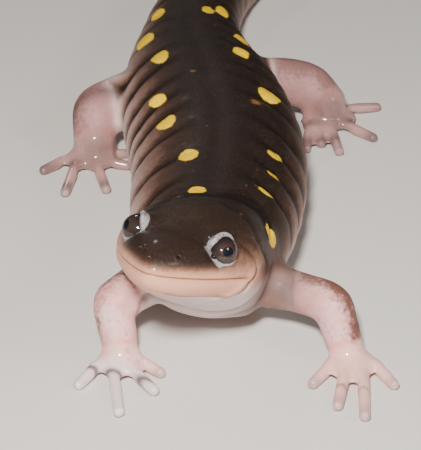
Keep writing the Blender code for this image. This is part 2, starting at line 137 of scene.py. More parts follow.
# %% The ruler itself
class Ruler:
    """Places along the body, each with its own back, left and up, in millimetres."""

    def __init__(self, step=0.25):
        self.places = np.arange(0.0, LENGTH + step, step)
        pupils = PUPIL_HEIGHT - PUPIL_UP * cosine(HEAD_PITCH) - PUPIL_OUT * sine(HEAD_ROLL)
        straight = pupils - (self.places - PUPILS_AT) * sine(HEAD_PITCH)
        knots = [(place, pupils - (place - PUPILS_AT) * sine(HEAD_PITCH))
                 for place in (HEAD_STRAIGHT_TO, HEAD_STRAIGHT_TO + 3)]
        heights = np.where(self.places < HEAD_STRAIGHT_TO, straight,
                           smooth_through((*knots, *AXIS_HEIGHT), self.places))
        fall = np.gradient(heights, self.places)
        level = np.sqrt(1 - fall ** 2)
        bearing = np.radians(smooth_through(BEARING, self.places))
        self.back = np.stack([np.sin(bearing) * level, np.cos(bearing) * level, fall], 1)
        flat = np.stack([np.cos(bearing), -np.sin(bearing), np.zeros_like(bearing)], 1)
        over = np.cross(flat, self.back)
        roll = np.radians(smooth_through(ROLL, self.places))[:, None]
        self.left = flat * np.cos(roll) + over * np.sin(roll)
        self.up = over * np.cos(roll) - flat * np.sin(roll)
        steps = (self.back[1:] + self.back[:-1]) / 2 * step
        self.points = np.vstack([np.zeros(3), np.cumsum(steps, axis=0)])
        self.points[:, 2] = heights

    def row(self, table, along):
        """A table's row at a place between the ruler's own."""
        return np.stack([np.interp(along, self.places, table[:, k]) for k in range(3)], -1)

    def at(self, along, out=0.0, up=0.0):
        """The point at a place along, out and up."""
        out, up = np.asarray(out)[..., None], np.asarray(up)[..., None]
        return (self.row(self.points, along) + out * self.row(self.left, along)
                + up * self.row(self.up, along))

    def turn(self, along, forward, left, up):
        """A direction, from its shares forward, left and up at a place."""
        return (-forward * self.row(self.back, along) + left * self.row(self.left, along)
                + up * self.row(self.up, along))

    def read(self, points):
        """Along, out and up of each point: the nearest coarse place, then a few corrections."""
        stride, corrections, share = 8, 6, 0.8
        coarse = self.points[::stride]
        gaps = (coarse ** 2).sum(1)[None, :] - 2 * points @ coarse.T
        along = self.places[::stride][gaps.argmin(axis=1)]
        for _ in range(corrections):
            miss = ((points - self.row(self.points, along)) * self.row(self.back, along)).sum(1)
            along = np.clip(along + share * miss, 0, LENGTH)
        away = points - self.row(self.points, along)
        out, up = (away * self.row(self.left, along)).sum(1), (away * self.row(self.up, along)).sum(1)
        return along, out, up


def eye_look(side):
    """The way an eye looks, out and up from straight ahead."""
    level = cosine(EYE_LOOK_UP)
    return ruler.turn(PUPILS_AT, cosine(EYE_LOOK_OUT) * level, side * sine(EYE_LOOK_OUT) * level,
                      sine(EYE_LOOK_UP))


ruler = Ruler()
SIDES = {"left": 1, "right": -1}
eye_low, eye_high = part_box("eye_left")
eye_middle = np.array((eye_low + eye_high) / 2) / MM
ruler.points += eye_middle - (ruler.at(PUPILS_AT, PUPIL_OUT, PUPIL_UP) - EYE_RADIUS * eye_look(1))
eyes = {side: ruler.at(PUPILS_AT, sign * PUPIL_OUT, PUPIL_UP) - EYE_RADIUS * eye_look(sign)
        for side, sign in SIDES.items()}
print("eye centres in mm:", {side: centre.round(2).tolist() for side, centre in eyes.items()})

# %% [markdown]
# ## One skin over all the solids
#
# Real skin has no seam at the neck or the elbows. We copy the flesh nodes, merge each copy's loose
# triangles, swell them by two tenths of a millimetre so that the thin cuts close, and drop a ball
# into each socket so that the remesh doesn't crawl inside. A voxel remesh then wraps everything in
# one even net of quads. Afterwards the skin is drawn back in by the same amount.

# %% Wrap the solids
SWELL = 0.2                         # millimetres, as the rest here are
FILLER = 0.17                       # how far a socket's ball stands past the eye
GRAIN = 0.56
SAME_PLACE = 0.001

cover = bmesh.new()
for name in FLESH:
    cover.from_mesh(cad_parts[name].data)
bmesh.ops.remove_doubles(cover, verts=cover.verts, dist=SAME_PLACE * MM)
cover.normal_update()
for vert in cover.verts:
    vert.co += vert.normal * SWELL * MM
for centre in eyes.values():
    bmesh.ops.create_icosphere(cover, subdivisions=4, radius=(EYE_RADIUS + FILLER + SWELL) * MM,
                               matrix=Matrix.Translation(Vector(centre) * MM))
skin_mesh = bpy.data.meshes.new("skin")
cover.to_mesh(skin_mesh)
cover.free()
skin = bpy.data.objects.new("skin", skin_mesh)
bpy.context.scene.collection.objects.link(skin)
wrap = skin.modifiers.new("wrap", "REMESH")
wrap.mode = "VOXEL"
wrap.voxel_size = GRAIN * MM
bpy.context.view_layer.update()
wrapped = bpy.data.meshes.new_from_object(skin.evaluated_get(bpy.context.evaluated_depsgraph_get()))
skin.modifiers.clear()
skin.data = wrapped
print("wrapped skin:", len(wrapped.vertices), "points")

# %% [markdown]
# ## Smoothing without shrinking
#
# The remesh still shows the facets of the solids. Plain smoothing would also shrink the fingers, so
# each round pulls a point towards its neighbours and then pushes it back by a little more. Facets
# go, volume stays. The body gets many rounds and the slim fingers few.


# %% Helpers that read and write the skin's points
def read_points(mesh):
    flat = np.empty(len(mesh.vertices) * 3, np.float32)
    mesh.vertices.foreach_get("co", flat)
    return flat.reshape(-1, 3).astype(float) / MM


def write_points(mesh, points):
    mesh.vertices.foreach_set("co", (points * MM).astype(np.float32).ravel())
    mesh.update()


def read_normals(mesh):
    flat = np.empty(len(mesh.vertices) * 3, np.float32)
    mesh.vertex_normals.foreach_get("vector", flat)
    return flat.reshape(-1, 3).astype(float)


def read_edges(mesh):
    flat = np.empty(len(mesh.edges) * 2, np.int32)
    mesh.edges.foreach_get("vertices", flat)
    return flat.reshape(-1, 2)


def neighbour_mean(values, edges):
    """The mean of each point's neighbours, for one value or three per point."""
    columns = values.reshape(len(values), -1)
    count = np.bincount(edges.ravel(), minlength=len(values))
    total = [np.bincount(edges[:, 0], column[edges[:, 1]], len(values))
             + np.bincount(edges[:, 1], column[edges[:, 0]], len(values)) for column in columns.T]
    return (np.stack(total, 1) / np.maximum(count, 1)[:, None]).reshape(values.shape)


def softened(values, edges, rounds, share=0.5):
    for _ in range(rounds):
        values = values + (neighbour_mean(values, edges) - values) * share
    return values


PULL, PUSH = 0.5, -0.52


def evened(points, edges, rounds, share):
    """Rounds of pull and slightly stronger push, which remove facets but not volume."""
    for _ in range(rounds):
        for pull in (PULL, PUSH):
            points = points + (neighbour_mean(points, edges) - points) * pull * share[:, None]
    return points


def ramp(low, high, value):
    """0 below low, 1 above high, and smooth between; it falls instead when high is below low."""
    t = np.clip((value - low) / (high - low), 0, 1)
    return t * t * (3 - 2 * t)


def bump(value, middle, width):
    """A soft hill of height 1."""
    return np.exp(-((value - middle) / width) ** 2)


print("points and edges:", len(read_points(wrapped)), len(read_edges(wrapped)))

# %% Find which solid each point belongs to, then smooth by region
LIMB_NODES = [name for name in FLESH if name.rsplit("_", 1)[0] in
              ("upper_arm", "forearm", "hand", "thigh", "shank", "foot")]
PAW_NODES = [name for name in LIMB_NODES if name.startswith(("hand", "foot"))]


def nearest_nodes(points):
    """The name of the flesh node nearest to each point."""
    corners, faces, owners = [], [], []
    for name in FLESH:
        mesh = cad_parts[name].data
        base = len(corners)
        corners += [vert.co.copy() for vert in mesh.vertices]
        faces += [[base + i for i in face.vertices] for face in mesh.polygons]
        owners += [name] * len(mesh.polygons)
    tree = BVHTree.FromPolygons(corners, faces)
    return np.array([owners[tree.find_nearest(Vector(point) * MM)[2]] for point in points])


def share_near(names, owner, edges, rounds):
    """1 on the skin of the named nodes and 0 elsewhere, softened over the border."""
    return softened(np.isin(owner, names).astype(float), edges, rounds)


BODY_ROUNDS, PAW_ROUNDS = 40, 3
points, edges = read_points(wrapped), read_edges(wrapped)
on_paw = share_near(PAW_NODES, nearest_nodes(points), edges, 4)
points -= read_normals(wrapped) * SWELL
points = evened(points, edges, BODY_ROUNDS, 1 - on_paw)
points = evened(points, edges, PAW_ROUNDS, on_paw)
write_points(wrapped, points)
print("points on hands and feet:", int((on_paw > 0.5).sum()))

# %% [markdown]
# ## More points where the eye looks
#
# A point every half millimetre or so is plenty on the flank, but a lid is thinner than that. We
# could divide the whole skin, but most of the points would be wasted. Instead we divide only where
# the detail will be: once over the head and paws, again round the eyes, mouth and nostrils, and a
# third time along the very edges of the lids and the lips. Each region is asked for in the ruler's
# terms, so it follows the pose by itself.

# %% Where the mouth, the nostrils and the lids are
MOUTH_CORNER_AT = 11.9
NOSTRIL_AT, NOSTRIL_OUT, NOSTRIL_UP = 2.6, 2.43, 2.44
GAPE_OUT, GAPE_UP = 46.0, 24.0      # the middle of the lids' opening, from straight ahead
# Round each opening from the front corner, over the lower lid and the rear, and back over the upper
# lid: bearing, the opening's half width, the pale band's width (all degrees), the rim's height and
# how far from the eye the skin is drawn in to it (both mm)
LID_TABLE = ((-180, 66, 14, 0.26, 2.2), (-165, 65, 19, 0.26, 2.0), (-145, 60, 12, 0.24, 1.5),
             (-120, 54, 7, 0.22, 1.2), (-90, 49, 8, 0.2, 1.1), (-60, 52, 8, 0.16, 1.1),
             (-30, 64, 4, 0.08, 1.1), (0, 78, 0, 0.04, 1.1), (30, 80, 6, 0.12, 1.1),
             (60, 69, 20, 0.34, 1.1), (90, 57, 30, 0.46, 1.1), (120, 50, 35, 0.5, 1.1),
             (145, 49, 30, 0.46, 1.3), (165, 57, 19, 0.34, 1.8), (180, 66, 14, 0.26, 2.2))


def lid_reading(points, side):
    """Degrees outside the lids' edge, the distance from the eye, and LID_TABLE's last columns."""
    sign = SIDES[side]
    level = cosine(GAPE_UP)
    gape = ruler.turn(PUPILS_AT, cosine(GAPE_OUT) * level, sign * sine(GAPE_OUT) * level,
                      sine(GAPE_UP))
    rear = np.cross(ruler.turn(PUPILS_AT, 0, 0, 1), gape) * sign
    rear /= np.linalg.norm(rear)
    over = np.cross(gape, rear) * sign
    away = points - eyes[side]
    reach = np.linalg.norm(away, axis=1)
    way = away / reach[:, None]
    tilt = np.degrees(np.arccos(np.clip(way @ gape, -1, 1)))
    bearing = np.degrees(np.arctan2(way @ over, way @ rear))
    bearings, *columns = zip(*LID_TABLE)
    edge, pale_width, rim, room = (np.interp(bearing, bearings, column) for column in columns)
    return tilt - edge, reach, pale_width, rim, room


def nostril_distance(along, out, up):
    """Millimetres from the middle of the nearer nostril."""
    return np.hypot(np.hypot(along - NOSTRIL_AT, np.abs(out) - NOSTRIL_OUT), up - NOSTRIL_UP)


openings = [row[1] for row in LID_TABLE]
print("the lids' opening, half width in degrees:", min(openings), "to", max(openings))

# %% Say where each level of detail goes
HEAD_DETAIL_TO = 23.5
# For levels 2 and 3: how far round a nostril, past the mouth's corner, from the mouth's line and
# past the lids' room (mm), and the degrees outside the lids' edge where it starts and stops
FINE_REGIONS = {2: (1.1, 1.5, 0.8, 0.4, -15, 40), 3: (0.6, 0.8, 0.3, 0.0, -6, 12)}


def detail_wanted(level):
    """Which points of the skin sit in the regions of one level of detail."""
    points = read_points(skin.data)
    along, out, up = ruler.read(points)
    if level == 1:
        return (along < HEAD_DETAIL_TO) | np.isin(nearest_nodes(points), PAW_NODES)
    round_nostril, past_corner, by_line, past_room, lid_from, lid_to = FINE_REGIONS[level]
    wanted = (along < MOUTH_CORNER_AT + past_corner) & (np.abs(up) < by_line)
    wanted |= nostril_distance(along, out, up) < round_nostril
    for side in SIDES:
        outside, reach, _, _, room = lid_reading(points, side)
        by_lid = (outside > lid_from) & (outside < lid_to)
        wanted |= by_lid & (reach < EYE_RADIUS + past_room + room)
    return wanted


print("levels with finer regions:", list(FINE_REGIONS))

# %% Divide the skin level by level
for level in (1, 2, 3):
    wanted = detail_wanted(level)
    net = bmesh.new()
    net.from_mesh(skin.data)
    net.verts.ensure_lookup_table()
    chosen = [edge for edge in net.edges if all(wanted[vert.index] for vert in edge.verts)]
    bmesh.ops.subdivide_edges(net, edges=chosen, cuts=1, use_grid_fill=True, use_single_edge=True)
    net.verts.index_update()
    net.to_mesh(skin.data)
    net.free()
    points, edges = read_points(skin.data), read_edges(skin.data)
    wanted = softened(detail_wanted(level).astype(float), edges, 2)
    write_points(skin.data, evened(points, edges, 4, wanted))
    print("level", level, "skin points:", len(skin.data.vertices))

# %% [markdown]
# ## Blunt digits
#
# A salamander's fingers and toes have no nails: they end in soft round pads. We could model each
# one as its own capsule, but then its root would show a seam. Instead each digit is a line from its
# root to its tip, and the skin near that line is brought to a real digit's thickness.

# %% Round the digits
PUPIL_STANDS = (2.1, 0.0)           # where the left pupil is in the digits' own ground plan
DIGIT_ROOT_HEIGHT, DIGIT_TIP_HEIGHT = 1.15, 0.72
DIGIT_ROOT_RADIUS, DIGIT_TIP_RADIUS, DIGIT_REACH = 0.8, 0.7, 1.4
DIGIT_DRAWN_IN, DIGIT_PUSHED_OUT = 0.4, 0.8
ON_THE_LINE = 0.05                  # closer to the line than this, the way out of it means little
DIGITS = (((15.6, 5.2), (12.8, 1.0)), ((16.9, 2.9), (15.7, -3.8)), ((19.2, 3.3), (18.9, -6.2)),
          ((20.5, 5.3), (22.9, 0.8)), ((-9.2, 5.8), (-6.3, 3.5)), ((-9.9, 3.6), (-7.0, -0.5)),
          ((-12.2, 3.1), (-11.2, -5.2)), ((-14.0, 4.8), (-16.4, 0.8)),
          ((14.9, 69.6), (14.0, 63.0)), ((16.0, 68.8), (16.3, 64.6)), ((17.9, 68.6), (18.8, 62.1)),
          ((19.8, 70.0), (24.0, 66.4)), ((20.4, 74.8), (25.1, 76.2)),
          ((-15.0, 60.4), (-12.4, 61.4)), ((-14.8, 58.2), (-12.0, 57.8)),
          ((-16.4, 57.2), (-14.8, 50.8)), ((-19.4, 57.2), (-20.6, 49.9)),
          ((-20.9, 58.9), (-24.0, 56.4)))
ground = ruler.at(PUPILS_AT, PUPIL_OUT, PUPIL_UP)[:2] - np.array(PUPIL_STANDS)

points, edges = read_points(skin.data), read_edges(skin.data)
tip_share = np.zeros(len(points))
for root, tip in DIGITS:
    start = np.array((*(ground + root), DIGIT_ROOT_HEIGHT))
    run = np.array((*(ground + tip), DIGIT_TIP_HEIGHT)) - start
    share = ((points - start) @ run) / (run @ run)
    away = points - start - np.clip(share, 0, 1)[:, None] * run
    reach = np.linalg.norm(away, axis=1)
    on_digit = (reach < DIGIT_REACH) & (share > 0)
    full = DIGIT_ROOT_RADIUS + (DIGIT_TIP_RADIUS - DIGIT_ROOT_RADIUS) * np.clip(share, 0, 1)
    push = np.clip(full - reach, -DIGIT_DRAWN_IN, DIGIT_PUSHED_OUT)
    push *= ramp(0.15, 0.45, share) * on_digit
    points += away / np.maximum(reach, ON_THE_LINE)[:, None] * push[:, None]
    tip_share = np.maximum(tip_share, np.clip(share, 0, 1.2) * on_digit)
points[:, 2] = np.maximum(points[:, 2], 0)
write_points(skin.data, evened(points, edges, 2, ramp(0, 0.2, tip_share)))
print("digits:", len(DIGITS), " points on them:", int((tip_share > 0).sum()))

# %% [markdown]
# ## Carving the folds
#
# From here on the skin is shaped as clay would be: every point moves a little along its own
# normal, by an amount worked out from where it sits on the body. A crease is a curve drawn on the
# body ("at this angle round the body, the fold lies this far along"), cut with a soft hill turned
# upside down, with a fuller lip on the side that bulges. A brush or a displacement image could do
# the same, but numbers in the ruler's terms stay with the body if its pose changes.
#
# A salamander's ribs pull the flank into upright grooves. They start a third of the way down from
# the back's midline and slant forwards as they go down. The throat has a fold behind the jaw, a
# collar and a lower fold across the chest, and the head ends in a step at the nape.

# %% Places of the folds, in the ruler's terms
COSTAL_GROOVES = {1: (26.5, 33.2, 39.5, 44.9, 50.4, 57.4, 63.2, 68.2, 73.2, 78.2),
                  -1: (24.6, 31.3, 39.0, 48.0, 54.8, 59.4, 64.6, 70.8, 76.6)}
TAIL_GROOVES = np.arange(84.0, 150.0, 5.2)
# Each fold: degrees up from level, and how far along the body it lies there
JAW_FOLD = ((-90, 11.8), (-54, 11.2), (-36, 11.4), (-28, 11.7), (-17, 12.2), (-6, 12.6),
            (3, 13.6), (12, 14.1), (23, 13.6), (32, 12.9), (40, 12.3))
COLLAR_FOLD = ((-90, 16.5), (-60, 17.2), (-32, 18.4), (-23, 19.5), (-14, 20.4), (-3, 20.1),
               (10, 18.5), (23, 16.9), (35, 16.3), (44, 17.1), (52, 17.8), (62, 18.3),
               (72, 18.4), (90, 18.6))
NAPE_FOLD = {1: ((20, 21.4), (27, 22.4), (38, 23.7), (47, 25.4), (60, 26.0), (79, 25.2),
                 (90, 24.4)),
             -1: ((20, 18.6), (40, 19.0), (50, 19.4), (58, 20.1), (66, 21.2), (80, 23.2),
                  (90, 24.4))}
GULAR_FOLD = ((-90, 20.8), (-64, 21.0), (-49, 21.6), (-38, 22.2), (-28, 22.6), (-16, 22.6),
              (0, 22.6))
print("rib grooves left and right:", [len(grooves) for grooves in COSTAL_GROOVES.values()])

# %% Depths of the folds, and places that are fuller
COSTAL_DEPTH, COSTAL_WIDTH, COSTAL_LEAN = 0.5, 1.25, 0.11
RIDGE_HEIGHT = 0.12
# Each cut or lip: its height in mm, then its middle and half width across the fold
MIDLINE_CUT = (0.16, 0.0, 1.3)
JAW_CUT, JAW_LIP = (0.6, 0.2, 0.5), (0.32, -1.0, 0.8)
COLLAR_CUT, COLLAR_LIP = (0.34, 0.0, 0.5), (0.2, -1.5, 1.1)
NAPE_CUT, NAPE_LIP = (0.6, 0.0, 0.9), (0.25, -1.7, 1.1)
GULAR_CUT = (0.28, 0.0, 0.6)
COLLAR_REACH, GULAR_REACH = (88, 70), (6, -14)             # degrees up where each cut fades in
# Where the flesh of the chest and shoulder sits fuller or lower than the solids: a place in the
# ruler's terms, a radius and the way the skin moves there
FULLER = (((22.8, 7.0, -6.2), 2.8, (0.0, -0.3, -1.0)), ((18.4, -7.0, -7.0), 3.0, (0.0, -1.0, -0.6)),
          ((23.7, 11.2, -1.2), 3.2, (0.0, 0.0, -0.7)))


def section_angle(along, out, up):
    """Degrees up from level round the body's section, as seen from its own side."""
    wide, above, below = half_sizes(along)
    return np.degrees(np.arctan2(up / np.where(up > 0, above, below), np.abs(out) / wide))


def off_midline(along, out, up):
    """Degrees from the back's midline, positive towards the animal's left."""
    return (90 - section_angle(along, out, up)) * np.sign(out)


def fold_distance(fold, along, angle):
    """Millimetres behind a fold."""
    return along - np.interp(angle, *zip(*fold))


def hill(distance, height, middle, width):
    return height * bump(distance, middle, width)


def costal_field(along, angle):
    """1 in the middle of each groove between the ribs, 0 on the ridges."""
    field = np.zeros_like(along)
    lean = -COSTAL_LEAN * (np.clip(np.abs(angle), 0, 58) - 40)
    for sign, grooves in COSTAL_GROOVES.items():
        here = np.sign(angle) == sign
        for place in grooves:
            groove = bump(along, place + lean, COSTAL_WIDTH)
            field = np.where(here, np.maximum(field, groove), field)
    for place in TAIL_GROOVES:
        field = np.maximum(field, 0.5 * bump(along, place + lean * 0.5, COSTAL_WIDTH * 0.8))
    return field * ramp(10, 40, np.abs(angle)) * ramp(150, 110, np.abs(angle)) * ramp(23, 28, along)


print("places made fuller:", len(FULLER))

# %% Carve the trunk and the throat
points, edges, normals = read_points(skin.data), read_edges(skin.data), read_normals(skin.data)
on_body = 1 - share_near(LIMB_NODES, nearest_nodes(points), edges, 8)
along, out, up = ruler.read(points)
level_angle = section_angle(along, out, up)
angle = off_midline(along, out, up)

ribs = costal_field(along, angle)
move = -COSTAL_DEPTH * ribs * ramp(150, 90, along)
move += (RIDGE_HEIGHT * (1 - ribs) * ramp(15, 45, np.abs(angle)) * ramp(24, 30, along)
         * ramp(84, 76, along))
move -= hill(out, *MIDLINE_CUT) * (up > 0) * ramp(19, 26, along) * ramp(120, 95, along)

jaw_gap = fold_distance(JAW_FOLD, along, level_angle)
low_head = ramp(44, 34, level_angle)
move += (hill(jaw_gap, *JAW_LIP) - hill(jaw_gap, *JAW_CUT)) * low_head
collar_gap = fold_distance(COLLAR_FOLD, along, level_angle)
move -= hill(collar_gap, *COLLAR_CUT) * ramp(*COLLAR_REACH, level_angle)
move += hill(collar_gap, *COLLAR_LIP) * ramp(80, 40, level_angle)
nape_gap = np.where(out > 0, fold_distance(NAPE_FOLD[1], along, level_angle),
                    fold_distance(NAPE_FOLD[-1], along, level_angle))
on_nape = ramp(18, 34, level_angle)
move += (hill(nape_gap, *NAPE_LIP) - hill(nape_gap, *NAPE_CUT)) * on_nape
gular_gap = fold_distance(GULAR_FOLD, along, level_angle)
move -= hill(gular_gap, *GULAR_CUT) * ramp(*GULAR_REACH, level_angle)
points += normals * (move * on_body)[:, None]
for middle, radius, shift in FULLER:
    closeness = bump(np.linalg.norm(points - ruler.at(*middle), axis=1), 0, radius)
    points += closeness[:, None] * shift
points[:, 2] = np.maximum(points[:, 2], 0)
write_points(skin.data, points)
print("deepest cut and highest ridge in mm:", round(move.min(), 2), round(move.max(), 2))

# %% [markdown]
# ## Mouth and nostrils
#
# The mouth is one long closed line round the snout. The upper lip overhangs the lower by a hair,
# which is what makes the line read from the front, so the lip above it is pushed out, the line is
# cut in, and the lower lip is drawn back. The nostrils are two shallow pits with a raised rim.

# %% Carve the mouth line and the nostrils
MOUTH_LINE_DEPTH, MOUTH_LINE_WIDTH = 0.26, 0.11
UPPER_LIP, LOWER_LIP = (0.1, 0.5, 0.4), (0.1, -0.35, 0.35)
NOSTRIL_DEPTH, NOSTRIL_RIM = 0.35, (0.07, 0.42, 0.16)

normals = read_normals(skin.data)
along, out, up = ruler.read(points)
mouth_end = ramp(MOUTH_CORNER_AT + 0.5, MOUTH_CORNER_AT - 0.5, along)
mouth_line = bump(up, 0, MOUTH_LINE_WIDTH) * mouth_end
move = (hill(up, *UPPER_LIP) - hill(up, *LOWER_LIP)) * mouth_end - MOUTH_LINE_DEPTH * mouth_line
nostril_reach = nostril_distance(along, out, up)
nostril_pit = ramp(0.3, 0.08, nostril_reach)
move += hill(nostril_reach, *NOSTRIL_RIM) - NOSTRIL_DEPTH * nostril_pit
points += normals * move[:, None]
write_points(skin.data, points)
print("points in the mouth's line:", int((mouth_line > 0.5).sum()))

# %% [markdown]
# ## Lids
#
# A salamander has real lids: a thick pale upper one and a thin lower one, meeting in a corner in
# front of the eye. Seen from the middle of the eyeball, the skin outside the opening is laid on a
# slightly larger ball and rolled up to a rim, and the skin inside the opening is pushed back
# behind the eyeball, where it can't be seen. Separate lid pieces would be easier to shape, but
# their edges would show on the head; this way the lids grow out of the same skin.

# %% Shape the lids round each eye
SUNK_INSIDE, STEP_AT_EDGE, RIM_SUNK = 0.3, 0.45, 0.05      # millimetres, from EYE_RADIUS
BAND_BLUR = 5                       # degrees over which the pale band fades
BAND_GONE_AT, BAND_FULL_AT = 1.3, 0.7                      # millimetres past EYE_RADIUS
FRONT_DULLED = 0.45                 # how much duller the band is in the front corner
CORNER_ROUNDS = 14

lid_zone = np.zeros(len(points))
lid_inside = np.zeros(len(points))
for side in SIDES:
    outside, reach, pale_width, rim, room = lid_reading(points, side)
    near = ramp(EYE_RADIUS + room, EYE_RADIUS + 0.5 * room, reach)
    lid_reach = EYE_RADIUS - SUNK_INSIDE + STEP_AT_EDGE * ramp(-3, 0.5, outside)
    lid_reach += (rim - RIM_SUNK) * ramp(0, 7, outside)
    hold = ramp(36, 8, outside) * near
    wanted_reach = reach + (lid_reach - reach) * hold
    points = eyes[side] + (points - eyes[side]) * (wanted_reach / reach)[:, None]

    band = ramp(pale_width + BAND_BLUR, pale_width - BAND_BLUR, outside) * (outside > -4)
    band *= ramp(0, 3, pale_width) * (1 - FRONT_DULLED * ramp(1.4, 1.9, room))
    band *= ramp(EYE_RADIUS + BAND_GONE_AT, EYE_RADIUS + BAND_FULL_AT, wanted_reach)
    lid_zone = np.maximum(lid_zone, band)
    lid_inside = np.maximum(lid_inside, ramp(2.5, 0, outside) * near)

    rough_corner = bump(outside, 0, 13) * ramp(1.15, 1.5, room) * (reach < EYE_RADIUS + 1.6)
    points = evened(points, edges, CORNER_ROUNDS, rough_corner)
points[:, 2] = np.maximum(points[:, 2], 0)
write_points(skin.data, points)
print("points on the lids:", int((lid_zone > 0.5).sum()))

# %% [markdown]
# ## Fields for the paint
#
# The material needs to know where it is on the animal. Rather than painting a picture we store a
# few smooth numbers on the points: how pale the skin is, how rosy, how much painted shade lies in
# a fold, how far inside a spot. The shader mixes colours from them and roughens their edges with
# noise.

# %% The yellow spots and the drawn lines
# Each spot: along, degrees off the midline, half sizes round and along the body
SPOTS = ((27.4, -11, 1.35, 1.5), (40.2, -19, 1.55, 2.0), (52.6, -36, 1.7, 2.25),
         (60.9, -39, 1.5, 1.5), (75.1, -30, 1.55, 2.8), (85.0, -45, 1.8, 3.2),
         (94.6, -38, 1.4, 2.9), (22.0, 64, 1.8, 2.3), (31.4, 41, 1.45, 1.2), (38.2, 42, 1.2, 1.05),
         (43.6, 40, 1.45, 1.6), (60.5, 39, 2.0, 2.6), (75.3, 32, 1.4, 2.0), (83.5, 45, 1.5, 2.9),
         (94.2, 19, 1.1, 2.0), (96.0, 37, 1.25, 2.4), (103.5, 30, 1.2, 1.9), (108, -32, 1.35, 1.8),
         (116, 22, 1.2, 1.7), (119.5, -30, 1.1, 1.4), (127, 18, 1.2, 1.6), (131.5, -24, 1.0, 1.3),
         (139, 6, 1.15, 1.5), (147, -14, 0.95, 1.2), (153.5, 10, 0.9, 1.2), (161.5, -4, 0.8, 1.1),
         (169, 4, 0.6, 0.8))
FAINT_SPOTS = ((67.0, -10, 0.6, 0.6), (56.5, 26, 0.95, 1.05))
SPOT_SHARE, SPOT_DEPTH = 0.86, 3    # the share of a half size that is yellow; how deep a spot goes
# Lines along which shade is painted, the lower jaw's edge and the head's rear edge, and the middle
# of the painted shade on the chest: along, out and up
JAW_EDGE_SHADE_LINE = ((11.6, 8.1, -2.2), (10.7, 7.1, -2.6), (7.4, 4.8, -2.6), (4.9, 3.5, -2.6), (2.5, 1.7, -2.3))
NAPE_SHADOW_LINE = ((13.5, -5.6, 4.9), (15.6, -5.2, 5.6), (18.7, -3.4, 6.4), (20.5, -1.0, 6.9),
             (22.7, 1.5, 7.1), (23.2, 4.0, 6.6), (23.4, 6.1, 5.8), (21.4, 6.9, 4.7), (20.0, 7.6, 3.6))
CHEST_SHADE_MIDDLE, CHEST_SHADE_RADIUS = (23.5, 8.6, -5.2), 6.2
NO_SPOT = -9.0


def line_distance(line, points, side):
    """Millimetres from a line drawn through places in the ruler's terms, mirrored for side -1."""
    along, out, up = (np.array(column) for column in zip(*line))
    corners = ruler.at(along, out * side, up)
    nearest = np.full(len(points), np.inf)
    for start, stop in zip(corners, corners[1:]):
        run = stop - start
        share = np.clip((points - start) @ run / (run @ run), 0, 1)
        away = points - start - share[:, None] * run
        nearest = np.minimum(nearest, np.linalg.norm(away, axis=1))
    return nearest


def spot_field(spots):
    """Millimetres inside the nearest spot's edge; negative outside."""
    field = np.full(len(points), NO_SPOT)
    for place, turn, *halves in spots:
        half_round, half_along = (half * SPOT_SHARE for half in halves)
        wide, high, _ = half_sizes(place)
        middle = ruler.at(place, wide * sine(turn), high * cosine(turn))
        back = ruler.row(ruler.back, place)
        across = ruler.at(place, wide * sine(turn + 2), high * cosine(turn + 2)) - middle
        across /= np.linalg.norm(across)
        away = points - middle
        ratio = np.hypot(away @ back / half_along, away @ across / half_round)
        depth = np.abs(away @ np.cross(back, across))
        inside = (1 - ratio) * min(half_round, half_along)
        field = np.maximum(field, np.where(depth < SPOT_DEPTH, inside, NO_SPOT))
    return field


print("spots:", len(SPOTS), " faint ones:", len(FAINT_SPOTS))

# %% Which part of the animal each point is on
along, out, up = ruler.read(points)
level_angle = section_angle(along, out, up)
angle = off_midline(along, out, up)
edges, owner = read_edges(skin.data), nearest_nodes(points)
paw = share_near(PAW_NODES, owner, edges, 12)
on_limb = share_near(LIMB_NODES, owner, edges, 24)
on_body = 1 - on_limb
head = ramp(19.5, 14.5, along) * on_body
hind = ramp(50, 72, along)
jaw = head * ramp(0.1, -0.5, up)
cheek = head * ramp(4, 10, along) * ramp(-1, 1, up) * ramp(5.5, 2.5, up) + 0.3 * head * (up > 0)
# Painted shade in the hollow of the chest between the throat and the arms
chest_shade = bump(np.linalg.norm(points - ruler.at(*CHEST_SHADE_MIDDLE), axis=1), 0, CHEST_SHADE_RADIUS)
# A limb carries more pigment where it faces outwards, back and up, and most on the left
outwards = np.sign(points[:, 0])
outer_back = np.stack([0.7 * outwards, np.full(len(points), 0.2), np.full(len(points), 0.5)], 1)
limb_back = ramp(-0.05, 0.8, (read_normals(skin.data) * outer_back).sum(1)) * (1 - paw)
limb_back *= np.where(out > 0, 1.0, 0.6)
print("share of the skin on the limbs:", round(float(on_limb.mean()), 2))

# %% How pale the skin is
# On the head it turns pale at the lip; on the trunk, between two angles off the back's midline,
# which come sooner on the right and later on the left, where the later start paints the shade that
# falls on the left flank. Both come later still on the neck, which is dark and whose left side also
# carries the head's painted shadow. The rib grooves are kept darker as painted shade.
ribs = costal_field(along, angle)
lip_height = np.interp(along, (0, 2, 6, 9, 12, 16, 21), (0.8, 1.0, 1.1, 1.25, 1.4, 1.6, 1.8))
lip_blur = 0.9 + 2.3 * ramp(6.5, 11, along)
head_pale = ramp(1.3, -1.0, (up - lip_height) / lip_blur)
neck_dark_and_shaded = ramp(32, 22, along)
first_pale = np.where(out < 0, 12 + 26 * neck_dark_and_shaded, 38 + 46 * neck_dark_and_shaded)
full_pale = np.where(out < 0, 86 + 14 * neck_dark_and_shaded, 116 + 18 * neck_dark_and_shaded)
trunk_pale = ramp(first_pale, full_pale, np.abs(angle)) * (1 - 0.88 * ribs)
trunk_pale = np.clip(trunk_pale + 0.5 * ramp(88, 120, np.abs(angle)), 0, 1)
pale = head * head_pale + (1 - head) * trunk_pale
pale = np.maximum(pale, ramp(0.02, 0.5, on_limb))
pale *= 1 - 0.45 * ramp(100, 130, along) * on_body
print("mean paleness:", round(float(pale.mean()), 2))
